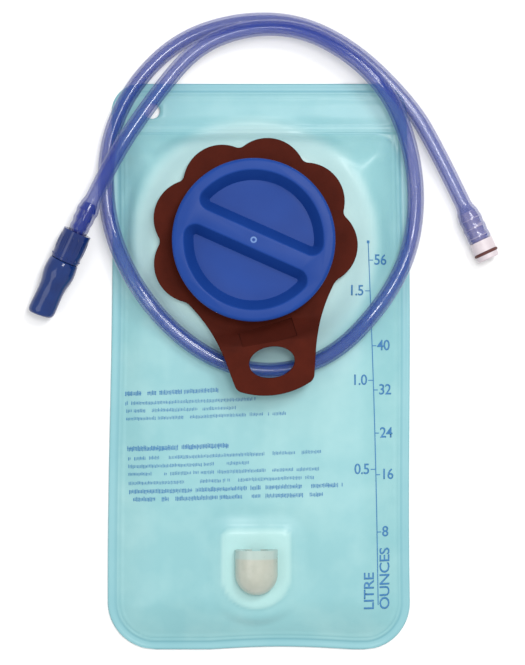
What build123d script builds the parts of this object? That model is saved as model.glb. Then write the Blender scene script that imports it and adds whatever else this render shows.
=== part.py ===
from build123d import *
from math import cos, pi, radians, sin, tan
import os

# A two-litre hydration bladder lying on its back, front face up, hose laid round it.
# +Z is up out of the front face, +Y runs from the outlet end to the hanging end.
# The origin is on the floor, under the middle of the bag. All sizes are millimetres.

# ---- driving dimensions: the bag ----
film = 0.5
bag_height = 322.0
top_width = 168.0
bottom_width = 172.6
top_corner = 16.0
bottom_corner = 27.0
weld_width = 5.0
header_seal_y = 133.0
fill_top = 10.0
side_slope = 9.0
pool_low_corner = 22.0
pool_high_corner = 14.0
hang_hole_at = (-61.5, 145.5)
hang_hole_radius = 4.5

# ---- driving dimensions: neck, collar and cap ----
neck_at = (-3.5, 71.0)
neck_film_top = 18.0
rise_foot_radius = 62.0
rise_top_radius = 52.5
mouth_radius = 39.5
neck_flange_radius = 50.5
thread_root = 41.4
thread_crest = 43.0
thread_lead = 12.0
thread_starts = 2
neck_thread_foot = 26.6
neck_thread_span = 240.0
cap_thread_drop = 1.95
cap_thread_foot = 26.65
cap_thread_span = 210.0
neck_top = 36.25
cap_radius = 45.5
cap_top = 40.0
cap_bottom = 25.2
cap_plate = 2.2
cap_bore = 43.4
pocket_radius = 39.0
pocket_corner = 6.5
pocket_depth = 10.0
pocket_taper = 28.0
pocket_wall = 1.85
pocket_rim_round = 1.2
bar_half_width = 4.6
bar_angle = -24.0
collar_turn = 8.5
collar_bottom = 19.2
collar_thick = 4.4
collar_bore = 43.4
tab_lift = 4.4
lobe_radius = 21.8
lobe_centre_radius = 36.7
lobe_step = 41.0
tab_end = 87.5
finger_hole_y = -69.0
key_count = 4

# ---- driving dimensions: outlet port and plug ----
port_x = -2.0
port_mouth_y = -103.2
port_radius = 12.0
port_round_y = -116.9
port_arch_z = 14.3
socket_radius = 6.9
socket_depth = 11.5
socket_z = 17.6
passage_radius = 4.0
port_flange_half_width = 20.25
port_flange_top = -92.0
port_flange_bottom = -138.1
flange_thick = 1.2
plug_body_radius = 6.7

# ---- driving dimensions: hose and bite valve ----
hose_radius = 4.75
hose_bore_radius = 3.2
swell_radius = 6.7
barb_radius = 5.25
barb_zone = 18.0
sleeve_radius = 8.1
valve_pull = 4.0
valve_twist = 90.0

# The route of the hose, from the bite valve round the bag to the plug.
hose_route = [
    (-103.2, 76.1, 12.9),
    (-85.3, 114.5, 17.0),
    (-60.0, 152.0, 14.8),
    (-37.0, 180.0, 14.6),
    (-9.0, 191.5, 14.4),
    (22.0, 191.5, 14.4),
    (50.0, 177.5, 15.4),
    (72.0, 156.0, 16.4),
    (85.0, 127.0, 8.2),
    (89.5, 95.0, 6.4),
    (85.0, 64.0, 6.6),
    (69.5, 35.5, 17.4),
    (43.0, 7.0, 15.4),
    (11.0, -4.0, 15.4),
    (-21.0, 1.0, 15.4),
    (-48.0, 18.5, 15.4),
    (-69.5, 44.0, 17.5),
    (-84.0, 73.5, 6.9),
    (-88.5, 104.0, 5.7),
    (-85.0, 134.0, 6.4),
    (-70.0, 163.0, 6.4),
    (-45.0, 186.5, 5.0),
    (-12.0, 197.0, 4.9),
    (22.0, 196.0, 4.9),
    (53.0, 180.5, 5.2),
    (80.0, 154.5, 6.6),
    (97.7, 129.9, 6.6),
    (125.1, 71.4, 7.4),
]

os.makedirs("parts", exist_ok=True)


def save(piece, name):
    """Label one finished piece and write it to its own STEP file."""
    piece.label = name
    export_step(piece, f"parts/{name}.step")
    print(f"{name}: {piece.volume:.1f} mm3, {len(piece.solids())} solid")


def half_width(y):
    """Half the width of the bag at one height up its length."""
    share = (y + bag_height / 2) / bag_height
    return (bottom_width + (top_width - bottom_width) * share) / 2


def round_cornered(bottom, top, margin, low_corner, high_corner):
    """Draw a tapered outline `margin` inside the bag's sides, with rounded corners."""
    Polygon(
        (margin - half_width(bottom), bottom),
        (half_width(bottom) - margin, bottom),
        (half_width(top) - margin, top),
        (margin - half_width(top), top),
        align=None,
    )
    fillet(vertices().sort_by(Axis.Y)[:2], radius=low_corner)
    fillet(vertices().sort_by(Axis.Y)[-2:], radius=high_corner)


def film_outline():
    """Draw the outline that both films are cut to."""
    round_cornered(-bag_height / 2, bag_height / 2, 0, bottom_corner, top_corner)


def pool_outline(inset):
    """Draw the outline of the filled part of the bag, `inset` up its sloping side."""
    round_cornered(
        -bag_height / 2 + weld_width + inset,
        header_seal_y - inset,
        weld_width + inset,
        pool_low_corner - inset,
        pool_high_corner - inset,
    )


def helical_rib(lead, span, root, crest, root_width, crest_width):
    """A rib on a right-hand helix about Z, from angle 0 and height 0, `span` degrees long."""
    path = Helix(pitch=lead, height=lead * span / 360, radius=root)
    depth = crest - root
    with BuildPart() as rib:
        with BuildSketch(Plane(origin=path @ 0, x_dir=(1, 0, 0), z_dir=path % 0)):
            with BuildLine():
                Polyline(
                    (0, -root_width / 2),
                    (depth, -crest_width / 2),
                    (depth, crest_width / 2),
                    (0, root_width / 2),
                    close=True,
                )
            make_face()
        sweep(path=path, is_frenet=True)
    return rib.part


def axial_plane(origin, direction):
    """A plane through an axis: its y runs along the axis and its x is the radius."""
    along = Vector(direction).normalized()
    outward = along.cross(Vector(0, 0, 1)).normalized()
    return Plane(origin=origin, x_dir=outward, z_dir=outward.cross(along))


# ---- films ----

with BuildPart() as back_film:
    with BuildSketch():
        film_outline()
    extrude(amount=film)
    with Locations(hang_hole_at):
        Hole(radius=hang_hole_radius)
save(back_film.part, "back_film")

with BuildPart() as front_film:
    with BuildSketch(Plane.XY.offset(film)):
        film_outline()
    extrude(amount=film)
    with BuildSketch(Plane.XY.offset(2 * film)):
        pool_outline(0)
    with BuildSketch(Plane.XY.offset(fill_top)):
        pool_outline(side_slope)
    loft()
    with Locations((*neck_at, fill_top)):
        Cone(
            rise_foot_radius,
            rise_top_radius,
            neck_film_top - fill_top,
            align=(Align.CENTER, Align.CENTER, Align.MIN),
        )
    with BuildSketch(Plane.XY.offset(film)):
        pool_outline(film / 2)
    with BuildSketch(Plane.XY.offset(fill_top - film)):
        pool_outline(side_slope + film / 2)
    loft(mode=Mode.SUBTRACT)
    with Locations((*neck_at, fill_top - 2 * film)):
        Cone(
            rise_foot_radius,
            rise_top_radius - film,
            neck_film_top - fill_top + film,
            align=(Align.CENTER, Align.CENTER, Align.MIN),
            mode=Mode.SUBTRACT,
        )
    with Locations((*neck_at, neck_film_top)):
        Hole(radius=thread_root + 0.6, depth=2 * film)
    with BuildSketch(Plane.XY.offset(fill_top - 2 * film)):
        with Locations((port_x, port_round_y)):
            Circle(port_radius)
        with Locations((port_x, (port_mouth_y + port_round_y) / 2)):
            Rectangle(2 * port_radius, port_mouth_y - port_round_y)
    extrude(amount=4 * film, mode=Mode.SUBTRACT)
    with Locations((*hang_hole_at, 2 * film)):
        Hole(radius=hang_hole_radius)
save(front_film.part, "front_film")

# ---- fill neck, with its weld flange, collar seat, snap bead and two-start thread ----

neck_axis = Axis((*neck_at, 0), (0, 0, 1))
neck_section = Plane(origin=(*neck_at, 0), x_dir=(1, 0, 0), z_dir=(0, -1, 0))
neck_foot = neck_film_top - film - flange_thick
collar_top = collar_bottom + collar_thick
neck_rib = helical_rib(thread_lead, neck_thread_span, thread_root - 0.3, thread_crest, 2.8, 1.2)

with BuildPart() as fill_neck:
    with BuildSketch(neck_section):
        Polygon(
            (mouth_radius, neck_foot),
            (neck_flange_radius, neck_foot),
            (neck_flange_radius, neck_film_top - film),
            (thread_root + 0.6, neck_film_top - film),
            (thread_root + 0.6, neck_film_top),
            (45.0, neck_film_top),
            (45.0, collar_bottom),
            (collar_bore - 0.2, collar_bottom),
            (collar_bore - 0.2, collar_top),
            (collar_bore + 0.4, collar_top + 0.4),
            (collar_bore + 0.4, collar_top + 0.8),
            (thread_root, collar_top + 1.5),
            (thread_root, neck_top - 0.5),
            (thread_root - 0.5, neck_top),
            (mouth_radius, neck_top),
            align=None,
        )
    revolve(axis=neck_axis)
    for start in range(thread_starts):
        turn = 360 * start / thread_starts
        add(Location((*neck_at, neck_thread_foot), (0, 0, turn)) * neck_rib)
    with Locations((*neck_at, collar_bottom)):
        with PolarLocations(collar_bore, key_count, start_angle=collar_turn + 45):
            Box(2.4, 6.0, 4.0, align=(Align.CENTER, Align.CENTER, Align.MIN))
save(fill_neck.part, "fill_neck")

# ---- handle collar: six lobes, a raised tab and an oval finger hole ----

tab_x = (cos(radians(collar_turn)), sin(radians(collar_turn)), 0)
tab_y = (-sin(radians(collar_turn)), cos(radians(collar_turn)), 0)
tab_top = collar_top + tab_lift

with BuildPart() as handle_collar:
    with BuildSketch(Plane(origin=(*neck_at, 0), x_dir=tab_y, z_dir=tab_x)):
        Polygon(
            (64.0, collar_bottom),
            (64.0, collar_top),
            (-47.0, collar_top),
            (-57.0, tab_top),
            (-95.0, tab_top),
            (-95.0, tab_top - collar_thick),
            (-58.6, tab_top - collar_thick),
            (-48.6, collar_bottom),
            align=None,
        )
    extrude(amount=65, both=True)
    with BuildSketch(Plane(origin=(*neck_at, 0), x_dir=tab_x, z_dir=(0, 0, 1))):
        Circle(lobe_centre_radius + 14.0)
        with PolarLocations(
            lobe_centre_radius, 6, start_angle=90 - 2.5 * lobe_step, angular_range=6 * lobe_step
        ):
            Circle(lobe_radius)
        with BuildLine():
            ThreePointArc((50.0, -20.0), (33.5, -43.0), (25.0, -68.0))
            Line((25.0, -68.0), (22.0, -82.0))
            ThreePointArc((22.0, -82.0), (0.0, -tab_end), (-22.0, -82.0))
            Line((-22.0, -82.0), (-25.0, -68.0))
            ThreePointArc((-25.0, -68.0), (-33.5, -43.0), (-50.0, -20.0))
            Line((-50.0, -20.0), (50.0, -20.0))
        make_face()
        fillet(vertices().filter_by_position(Axis.Y, -100, -75), radius=5.5)
        fillet(vertices().filter_by_position(Axis.Y, -40, -15), radius=9.0)
        fillet(vertices().filter_by_position(Axis.Y, -15, 80), radius=4.5)
        Circle(collar_bore, mode=Mode.SUBTRACT)
        with Locations((0, finger_hole_y)):
            Ellipse(12.8, 8.7, mode=Mode.SUBTRACT)
        with PolarLocations(collar_bore, key_count, start_angle=45):
            Rectangle(2.8, 6.4, mode=Mode.SUBTRACT)
    extrude(amount=60, mode=Mode.INTERSECT)
save(handle_collar.part, "handle_collar")

# ---- cap: rim, grip bar between two wells, skirt with its thread ----

cap_rib = helical_rib(thread_lead, cap_thread_span, cap_bore + 0.3, cap_bore - 1.6, 2.8, 1.2)
thread_phase = (cap_thread_foot + cap_thread_drop - neck_thread_foot) / thread_lead * 360

with BuildPart() as cap:
    with BuildSketch(Plane.XY.offset(cap_bottom)):
        with Locations(neck_at):
            Circle(cap_radius)
    extrude(amount=cap_top - cap_bottom)
    fillet(edges().group_by(Axis.Z)[-1], radius=1.8)
    with BuildSketch(Plane.XY.offset(cap_bottom)):
        with Locations(neck_at):
            Circle(cap_bore)
    extrude(amount=cap_top - cap_plate - cap_bottom, mode=Mode.SUBTRACT)
    for grow, kind in ((pocket_wall, Mode.ADD), (0, Mode.SUBTRACT)):
        for side in (0, 180):
            across = radians(bar_angle + side)
            with BuildSketch(
                Plane(origin=(*neck_at, cap_top), x_dir=(cos(across), sin(across), 0), z_dir=(0, 0, 1))
            ):
                Circle(pocket_radius + grow)
                with Locations((0, bar_half_width - grow)):
                    Rectangle(
                        3 * pocket_radius,
                        2 * pocket_radius,
                        align=(Align.CENTER, Align.MIN),
                        mode=Mode.INTERSECT,
                    )
                fillet(vertices(), radius=pocket_corner + grow)
            extrude(amount=-(pocket_depth + grow), taper=pocket_taper, mode=kind)
    rims = edges().filter_by_position(Axis.Z, cap_top - 0.01, cap_top + 0.01)
    fillet(rims.sort_by(SortBy.LENGTH)[:-1], radius=pocket_rim_round)
    for start in range(thread_starts):
        turn = 360 * start / thread_starts + thread_phase
        add(Location((*neck_at, cap_thread_foot), (0, 0, turn)) * cap_rib)
    with Locations((*neck_at, cap_top)):
        Cylinder(2.0, 0.3, align=(Align.CENTER, Align.CENTER, Align.MAX), mode=Mode.SUBTRACT)
        Cylinder(0.9, 0.3, align=(Align.CENTER, Align.CENTER, Align.MAX))
save(cap.part, "cap")

with BuildPart() as cap_gasket:
    with BuildSketch(neck_section):
        Polygon(
            (40.0, neck_top + 0.05),
            (cap_bore - 0.2, neck_top + 0.05),
            (cap_bore - 0.2, cap_top - cap_plate),
            (40.0, cap_top - cap_plate),
            align=None,
        )
    revolve(axis=neck_axis)
save(cap_gasket.part, "cap_gasket")

# ---- outlet port: D-shaped weld flange, hood, socket and the way down into the bag ----

flange_round_y = port_flange_bottom + port_flange_half_width
port_foot = fill_top - film - flange_thick

with BuildPart() as outlet_port:
    with BuildSketch(Plane.XY.offset(port_foot)):
        with Locations((port_x, flange_round_y)):
            Circle(port_flange_half_width)
        with Locations((port_x, (flange_round_y + port_flange_top) / 2)):
            Rectangle(2 * port_flange_half_width, port_flange_top - flange_round_y)
        fillet(vertices().group_by(Axis.Y)[-1], radius=5.0)
    extrude(amount=flange_thick)
    with BuildSketch(Plane.XY.offset(port_foot)):
        with Locations((port_x, port_round_y)):
            Circle(port_radius)
        with Locations((port_x, (port_mouth_y + port_round_y) / 2)):
            Rectangle(2 * port_radius, port_mouth_y - port_round_y)
    extrude(amount=port_arch_z - port_foot)
    with BuildSketch(Plane(origin=(port_x, port_mouth_y, port_arch_z), z_dir=(0, -1, 0))):
        Circle(port_radius)
    extrude(amount=port_mouth_y - port_round_y)
    with Locations((port_x, port_round_y, port_arch_z)):
        Sphere(port_radius)
    with Locations((port_x, port_round_y, 0)):
        Box(60, 60, 2 * port_foot, mode=Mode.SUBTRACT)
    with BuildSketch(Plane(origin=(port_x, port_mouth_y, socket_z), z_dir=(0, -1, 0))):
        Circle(socket_radius)
    extrude(amount=socket_depth, mode=Mode.SUBTRACT)
    with BuildSketch(Plane(origin=(port_x, port_mouth_y, socket_z), z_dir=(0, -1, 0))):
        Circle(passage_radius)
    extrude(amount=socket_depth + 6.5, mode=Mode.SUBTRACT)
    with BuildSketch(Plane.XY.offset(socket_z)):
        with Locations((port_x, port_mouth_y - socket_depth - 4.5)):
            Circle(passage_radius)
    extrude(amount=-socket_z, mode=Mode.SUBTRACT)
save(outlet_port.part, "outlet_port")

# ---- plug and its O-ring ----

plug_end = Vector(hose_route[-1])
plug_way = (plug_end - Vector(hose_route[-2])).normalized()
plug_axis = Axis(plug_end, plug_way)
plug_section = axial_plane(plug_end, plug_way)

with BuildPart() as plug:
    with BuildSketch(plug_section):
        Polygon(
            (2.2, -barb_zone),
            (3.5, -barb_zone),
            (barb_radius, -13.2),
            (4.2, -13.2),
            (4.2, -12.6),
            (barb_radius, -7.8),
            (4.2, -7.8),
            (4.2, -7.2),
            (barb_radius, -2.4),
            (4.2, -2.4),
            (4.2, 0),
            (plug_body_radius, 0),
            (plug_body_radius, 6.5),
            (5.3, 6.5),
            (5.3, 8.3),
            (6.3, 8.3),
            (6.3, 10.6),
            (5.7, 11.3),
            (2.2, 11.3),
            align=None,
        )
    revolve(axis=plug_axis)
save(plug.part, "plug")

with BuildPart() as plug_o_ring:
    with BuildSketch(plug_section):
        with Locations((6.175, 7.4)):
            Circle(0.86)
    revolve(axis=plug_axis)
save(plug_o_ring.part, "plug_o_ring")

# ---- bite valve: stem, O-ring, twist-and-pull spout, mouthpiece ----

valve_end = Vector(hose_route[0])
valve_way = (valve_end - Vector(hose_route[1])).normalized()
valve_axis = Axis(valve_end, valve_way)
valve_section = axial_plane(valve_end, valve_way)
valve_frame = Plane(origin=valve_end, x_dir=valve_section.x_dir, z_dir=valve_way)
cam_lead = valve_pull * 360 / valve_twist
cam_foot = 2.0
cam_overrun = 14.0
cam_groove = helical_rib(cam_lead, valve_twist + 2 * cam_overrun, 4.9, 6.3, 2.0, 2.0)

with BuildPart() as valve_stem:
    with BuildSketch(valve_section):
        Polygon(
            (1.8, -barb_zone),
            (2.9, -barb_zone),
            (5.0, -13.2),
            (3.6, -13.2),
            (3.6, -12.6),
            (4.35, -7.8),
            (3.3, -7.8),
            (3.3, -7.2),
            (3.75, -2.4),
            (3.2, -2.4),
            (3.2, 0),
            (6.2, 0),
            (6.2, 1.6),
            (5.0, 1.6),
            (5.0, 12.0),
            (3.9, 12.0),
            (3.9, 13.8),
            (5.0, 13.8),
            (5.0, 15.4),
            (2.6, 16.2),
            (2.6, 20.0),
            (0, 20.0),
            (0, 16.0),
            (1.8, 16.0),
            align=None,
        )
    revolve(axis=valve_axis)
    with Locations(valve_frame.offset(cam_foot + valve_pull)):
        with Locations(Location((0, 0, 0), (90, 0, 0))):
            Cylinder(0.8, 12.2)
    with BuildSketch(valve_section):
        Rectangle(1.8, 16, align=(Align.MIN, Align.MIN))
    revolve(axis=valve_axis, mode=Mode.SUBTRACT)
    with Locations(valve_frame.offset(14.6)):
        with Locations(Location((0, 0, 0), (90, 0, 0))):
            Cylinder(0.6, 12, mode=Mode.SUBTRACT)
save(valve_stem.part, "valve_stem")

with BuildPart() as valve_o_ring:
    with BuildSketch(valve_section):
        with Locations((4.56, 12.9)):
            Circle(0.64)
    revolve(axis=valve_axis)
save(valve_o_ring.part, "valve_o_ring")

with BuildPart() as valve_spout:
    with BuildSketch(valve_section):
        Polygon(
            (6.4, 0),
            (sleeve_radius, 0),
            (8.2, 17.5),
            (5.2, 17.5),
            (5.2, 26.5),
            (5.8, 27.2),
            (5.8, 28.2),
            (5.0, 30.0),
            (3.4, 30.0),
            (3.4, 18.0),
            (2.7, 18.0),
            (2.7, 16.4),
            (5.25, 16.4),
            (5.25, 2.0),
            (6.4, 2.0),
            align=None,
        )
    revolve(axis=valve_axis)
    for side in (0, 180):
        start_height = cam_foot - cam_lead * cam_overrun / 360
        place = Location((0, 0, start_height), (0, 0, side - cam_overrun))
        add(valve_frame.location * place * cam_groove, mode=Mode.SUBTRACT)
save(valve_spout.part, "valve_spout")

with BuildPart() as mouthpiece:
    with BuildSketch(valve_section):
        with BuildLine():
            Spline((8.2, 17.8), (8.85, 25.0), (7.9, 33.0), (7.4, 40.0), (7.6, 48.5))
            ThreePointArc((7.6, 48.5), (6.9, 50.7), (4.8, 51.6))
            Polyline((4.8, 51.6), (0, 51.6), (0, 50.0), (4.3, 50.0))
            ThreePointArc((4.3, 50.0), (5.5, 49.2), (5.9, 47.6))
            Polyline((5.9, 47.6), (5.9, 26.2), (5.3, 26.2), (5.3, 17.8), (8.2, 17.8))
        make_face()
    revolve(axis=valve_axis)
    with Locations(valve_frame.offset(51.0)):
        Box(8.0, 0.6, 6.0, mode=Mode.SUBTRACT)
save(mouthpiece.part, "mouthpiece")

# ---- hose: straight runs joined by tangent arcs, swollen over the barbs at both ends ----

points = [Vector(point) for point in hose_route]
runs = [(after - before).length for before, after in zip(points, points[1:])]
bends = []
for index in range(1, len(points) - 1):
    turn = (points[index] - points[index - 1]).get_angle(points[index + 1] - points[index])
    bends.append(0.45 * min(runs[index - 1], runs[index]) / tan(radians(turn / 2)))
print("bend radii:", [round(bend) for bend in bends])

with BuildPart() as drink_tube:
    with BuildLine() as hose_path:
        FilletPolyline(*hose_route, radius=bends)
    with BuildSketch(Plane(origin=hose_path.line @ 0, z_dir=hose_path.line % 0)):
        Circle(hose_radius)
        Circle(hose_bore_radius, mode=Mode.SUBTRACT)
    sweep()
    plain_volume = drink_tube.part.volume
    with BuildSketch(plug_section):
        Polygon((0, 0), (6.4, 0), (6.8, -1.6), (swell_radius, -15.5), (4.6, -23), (0, -23), align=None)
    revolve(axis=plug_axis)
    with BuildSketch(plug_section):
        Polygon((0, 0.1), (5.3, 0.1), (5.3, -17.8), (3.0, -25), (0, -25), align=None)
    revolve(axis=plug_axis, mode=Mode.SUBTRACT)
    with BuildSketch(valve_section):
        Polygon((0, 0), (5.2, 0), (5.3, -5), (6.5, -15.5), (4.6, -21.5), (0, -21.5), align=None)
    revolve(axis=valve_axis)
    with BuildSketch(valve_section):
        Polygon((0, 0.1), (3.85, 0.1), (5.1, -14), (5.1, -17.6), (3.0, -22.6), (0, -22.6), align=None)
    revolve(axis=valve_axis, mode=Mode.SUBTRACT)
hose_length = sum(edge.length for edge in hose_path.line.edges())
section_area = pi * (hose_radius**2 - hose_bore_radius**2)
print(f"hose: {hose_length:.1f} mm long, plain volume {plain_volume:.0f}")
print(f"section times length {section_area * hose_length:.0f}")
save(drink_tube.part, "drink_tube")
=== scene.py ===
# %% [markdown]
# # A hydration bladder, finished around its CAD frame
# The frame brings the moulded parts where the design has them: films, neck, collar, cap, port, hose
# and bite valve. This script keeps every one of those places and adds what a reader would see on the
# real thing: soft film with welded edges, a clear hose stretched over its barbs, printed scales, and
# a finish for every plastic. The scene is in metres, with +Z up and +Y towards the hanging end; the
# small sizes are written in millimetres and multiplied by `mm`.

# %% Load the frame
from math import cos, exp, hypot, pi, radians, sin, sqrt

import bmesh
import bpy
from mathutils import Euler, Matrix, Vector, noise
from mathutils.bvhtree import BVHTree
from mathutils.kdtree import KDTree


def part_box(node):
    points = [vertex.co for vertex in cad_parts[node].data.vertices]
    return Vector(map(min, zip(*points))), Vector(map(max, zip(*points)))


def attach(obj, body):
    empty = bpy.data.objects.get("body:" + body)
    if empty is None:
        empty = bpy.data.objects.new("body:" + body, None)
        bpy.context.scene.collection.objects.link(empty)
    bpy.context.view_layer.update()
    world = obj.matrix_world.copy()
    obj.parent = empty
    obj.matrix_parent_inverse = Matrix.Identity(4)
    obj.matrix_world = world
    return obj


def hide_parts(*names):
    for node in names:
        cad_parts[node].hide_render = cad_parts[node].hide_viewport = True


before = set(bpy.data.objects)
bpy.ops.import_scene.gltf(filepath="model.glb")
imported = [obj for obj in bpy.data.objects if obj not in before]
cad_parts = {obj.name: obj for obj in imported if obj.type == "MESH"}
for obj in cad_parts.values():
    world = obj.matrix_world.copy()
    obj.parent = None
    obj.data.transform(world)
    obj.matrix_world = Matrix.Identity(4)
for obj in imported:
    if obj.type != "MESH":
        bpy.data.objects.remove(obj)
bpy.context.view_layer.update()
mm = 0.001
neck_low, neck_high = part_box("fill_neck")
neck_x = (neck_low.x + neck_high.x) / 2 / mm
neck_y = (neck_low.y + neck_high.y) / 2 / mm
root = "reservoir"


def linked(name, data):
    """A new object for this mesh, curve, lamp or camera, linked to the scene."""
    made = bpy.data.objects.new(name, data)
    bpy.context.collection.objects.link(made)
    return made


print("nodes:", sorted(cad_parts))

# %% [markdown]
# ## Camera, floor and light
# The bag lies flat and is looked at from straight above, so the camera hangs over it with +Y up in
# the picture. A long lens from 1.6 m keeps the tall cap from spreading much over its collar. The
# floor and the air are white, so most of the light comes from all round. Three square lamps are
# added to it: a key lamp high on the right, which casts the soft shadows, a weak and large one on
# the left, which fills them, and one near the camera, which draws the bright line along the hose.

# %% Camera
camera_height = 1.6
picture_height = 0.379
picture_middle = (0.0014, 0.0194)
camera_data = bpy.data.cameras.new("camera")
camera_data.lens = camera_data.sensor_width * camera_height / picture_height
camera = linked("camera", camera_data)
camera.location = (*picture_middle, camera_height)
bpy.context.scene.camera = camera
bpy.context.scene.view_settings.view_transform = "Standard"
print("lens, mm:", round(camera_data.lens, 1))

# %% Light
world = bpy.data.worlds.new("studio_air")
world.use_nodes = True
air = world.node_tree.nodes["Background"]
air.inputs["Color"].default_value = (1.0, 1.0, 1.0, 1.0)
air.inputs["Strength"].default_value = 0.72
bpy.context.scene.world = world
lit_spot = Vector((0.0, 0.03, 0.0))


def lamp(name, place, size, power):
    """A square lamp that looks at the middle of the bag; size is in metres and power in watts."""
    data = bpy.data.lights.new(name, "AREA")
    data.size = size
    data.energy = power
    made = linked(name, data)
    made.location = place
    made.rotation_euler = (lit_spot - Vector(place)).to_track_quat("-Z", "Y").to_euler()


lamp("key_lamp", (0.55, 0.75, 1.45), size=0.42, power=10.0)
lamp("fill_lamp", (-0.9, -0.2, 1.2), size=0.8, power=3.0)
lamp("line_lamp", (0.2, 0.26, 1.5), size=0.34, power=7.0)

# %% [markdown]
# ## Values that travel through a node tree
# Shader and geometry trees are easier to read as sums. This small class wraps a socket, so that
# `1 - mask` or `grain * 0.2` adds the right Math node by itself. Any other node comes from `node`.

# %% A value in a node tree
class Flow:
    """A socket of a node tree that can be used in sums."""

    def __init__(self, tree, socket):
        self.tree = tree
        self.socket = socket

    def sum(self, operation, other, first=False):
        pair = (other, self) if first else (self, other)
        return node(self.tree, "ShaderNodeMath", {"operation": operation}, *pair)

    def __add__(self, other):
        return self.sum("ADD", other)

    def __radd__(self, other):
        return self.sum("ADD", other, first=True)

    def __sub__(self, other):
        return self.sum("SUBTRACT", other)

    def __rsub__(self, other):
        return self.sum("SUBTRACT", other, first=True)

    def __mul__(self, other):
        return self.sum("MULTIPLY", other)

    def __rmul__(self, other):
        return self.sum("MULTIPLY", other, first=True)

    def __truediv__(self, other):
        return self.sum("DIVIDE", other)

    def __pow__(self, other):
        return self.sum("POWER", other)


def node(tree, kind, settings, *values, out=0, **named):
    """Add a node: its settings first, then values or links for its inputs, in order or by name."""
    made = tree.nodes.new(kind)
    for key, value in settings.items():
        setattr(made, key, value)
    wanted = [*zip(made.inputs, values), *((made.inputs[key], value) for key, value in named.items())]
    for socket, value in wanted:
        if isinstance(value, Flow):
            tree.links.new(value.socket, socket)
        elif value is not None:
            socket.default_value = value
    return Flow(tree, made.outputs[out])


def rgba(colour):
    """A colour of three numbers with its alpha; a flow stays as it is."""
    return (*colour, 1.0) if isinstance(colour, tuple) else colour


def mix_colour(tree, share, first, second):
    """Mix two colours; share is 0 for the first and 1 for the second."""
    sockets_for_numbers = [None] * 5
    ends = (rgba(first), rgba(second))
    return node(
        tree, "ShaderNodeMix", {"data_type": "RGBA"}, share, *sockets_for_numbers, *ends, out=2
    )


def finish(name, roughness=0.5, coat=0.0, **fixed):
    """A new material with one Principled shader; fixed values go on the shader's own sockets."""
    material = bpy.data.materials.new(name)
    material.use_nodes = True
    shader = material.node_tree.nodes["Principled BSDF"]
    shader.inputs["Roughness"].default_value = roughness
    shader.inputs["Coat Weight"].default_value = coat
    for key, value in fixed.items():
        shader.inputs[key.replace("_", " ")].default_value = value
    return material, material.node_tree, shader


def plug_in(tree, shader, **flows):
    """Link flows to the shader's sockets, such as Base_Color=..."""
    for key, flow in flows.items():
        tree.links.new(flow.socket, shader.inputs[key.replace("_", " ")])


def own_place(tree, axis=None):
    """The piece's own coordinates, or one of them: 0 is x, 1 is y and 2 is z."""
    place = node(tree, "ShaderNodeTexCoord", {}, out=3)
    return place if axis is None else node(tree, "ShaderNodeSeparateXYZ", {}, place, out=axis)


def grain(tree, scale, detail=3.0):
    """Noise in the piece's own coordinates; scale is in cells per metre."""
    place = own_place(tree)
    return node(
        tree, "ShaderNodeTexNoise", {}, Vector=place, Scale=scale, Detail=detail, Roughness=0.55
    )


def bumps(tree, height, distance, strength=1.0):
    """A normal from a height; distance is the height's size in metres."""
    return node(tree, "ShaderNodeBump", {}, Height=height, Distance=distance, Strength=strength)


# %% The floor
floor_material, _, floor_shader = finish("floor_white", roughness=0.9)
floor_shader.inputs["Base Color"].default_value = (0.93, 0.93, 0.93, 1.0)
floor_mesh = bpy.data.meshes.new("floor")
floor_reach = 3.0
floor_level = -0.4 * mm
floor_corners = [(-1, -1), (1, -1), (1, 1), (-1, 1)]
floor_mesh.from_pydata(
    [(x * floor_reach, y * floor_reach, floor_level) for x, y in floor_corners],
    [],
    [(0, 1, 2, 3)],
)
floor_mesh.materials.append(floor_material)
floor = linked("floor", floor_mesh)

# %% [markdown]
# ## Plastics and rubbers
# Each moulding gets its own finish. The cap is satin blue, hazy and slightly mottled, with a pale
# ring in its middle where the mould's gate was. The collar is dark maroon with fine pits, and has
# painted shade: it is darker where its edges turn away from the camera. The port is milky, and
# greener in its open end. The rubbers are dull, and the valve is wet-looking and deep blue. Each
# pattern is noise in the piece's own coordinates, so it stays on the piece in every pose.

# %% Opaque mouldings
gate_ring_radius = 1.35 * mm
gate_ring_width = 0.75 * mm


def cap_finish():
    material, tree, shader = finish(
        "cap_blue", roughness=0.46, coat=0.1, Coat_Roughness=0.3, Specular_IOR_Level=0.08
    )
    haze = grain(tree, 35.0)
    colour = mix_colour(tree, haze, (0.005, 0.034, 0.20), (0.012, 0.056, 0.28))
    east = own_place(tree, 0) - neck_x * mm
    north = own_place(tree, 1) - neck_y * mm
    radius = (east * east + north * north) ** 0.5
    from_ring = node(tree, "ShaderNodeMath", {"operation": "ABSOLUTE"}, radius - gate_ring_radius)
    mark = node(tree, "ShaderNodeClamp", {}, 1.0 - from_ring / gate_ring_width)
    colour = mix_colour(tree, mark * 0.7, colour, (0.25, 0.42, 0.75))
    speck = grain(tree, 2200.0, detail=2.0)
    plug_in(tree, shader, Base_Color=colour, Roughness=0.4 + haze * 0.14)
    plug_in(tree, shader, Normal=bumps(tree, speck, 0.04 * mm, 0.35))
    return material


def collar_finish():
    material, tree, shader = finish("collar_maroon", roughness=0.6, Specular_IOR_Level=0.06)
    mottle = grain(tree, 90.0, detail=4.0)
    brown = mix_colour(tree, mottle, (0.044, 0.0054, 0.0020), (0.086, 0.0112, 0.0044))
    # Painted shade: where the surface turns away from the camera, the maroon is mixed towards near
    # black, a painted dark outline on the collar's edges.
    turned = node(tree, "ShaderNodeLayerWeight", {}, Blend=0.6, out=1)
    colour = mix_colour(tree, turned**0.6, brown, (0.004, 0.001, 0.001))
    pits = grain(tree, 1500.0, detail=3.0)
    plug_in(tree, shader, Base_Color=colour, Roughness=0.5 + pits * 0.2)
    plug_in(tree, shader, Normal=bumps(tree, pits, 0.12 * mm, 0.5))
    return material


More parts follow.
